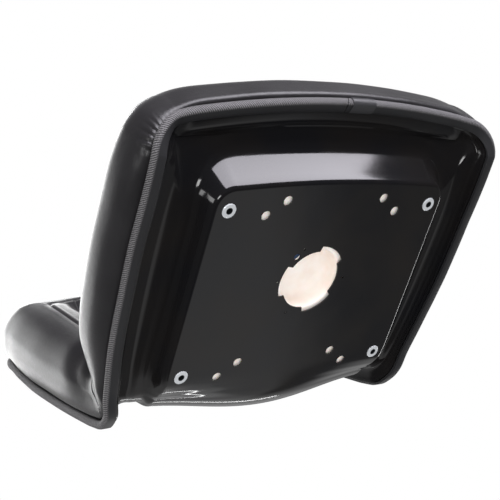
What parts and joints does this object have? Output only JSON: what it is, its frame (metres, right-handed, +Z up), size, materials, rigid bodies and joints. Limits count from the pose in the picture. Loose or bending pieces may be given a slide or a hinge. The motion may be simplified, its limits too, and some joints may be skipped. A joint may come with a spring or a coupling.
{
  "type": "driver seat",
  "caption": "Garden tractor driver seat: pressed steel pan and back in one sheet, foam cushions under black vinyl, textured edging, threaded inserts and a switch opening below.",
  "frame": {"origin": "on the underside of the flat mounting plate, at the centre of the four threaded inserts", "axes": "+Z up out of the seat's plate into the cushion, -Y towards the seat's front edge, +X towards the sitter's left hand"},
  "size_m": [0.482, 0.4956, 0.34],
  "materials": {
    "sheet_black": "gloss black coat",
    "zinc": "bright zinc plate",
    "edging": "matt, fine grain",
    "foam": "cream polyurethane foam",
    "wadding": "soft",
    "vinyl": "black vinyl, low sheen"
  },
  "bodies": {
    "root": {"seat_shell": "sheet_black", "rivet_nuts": "zinc", "edge_trim": "edging", "trim_joint_sleeve": "edging", "seat_foam": "foam", "back_foam": "foam", "seat_wadding": "wadding", "back_wadding": "wadding", "seat_centre_panel": "vinyl", "seat_bolster_left": "vinyl", "seat_bolster_right": "vinyl", "seat_boxing": "vinyl", "back_centre_panel": "vinyl", "back_bolster_left": "vinyl", "back_bolster_right": "vinyl", "back_side_left": "vinyl", "back_side_right": "vinyl", "corner_gusset_left": "vinyl", "corner_gusset_right": "vinyl"}
  },
  "joints": []
}
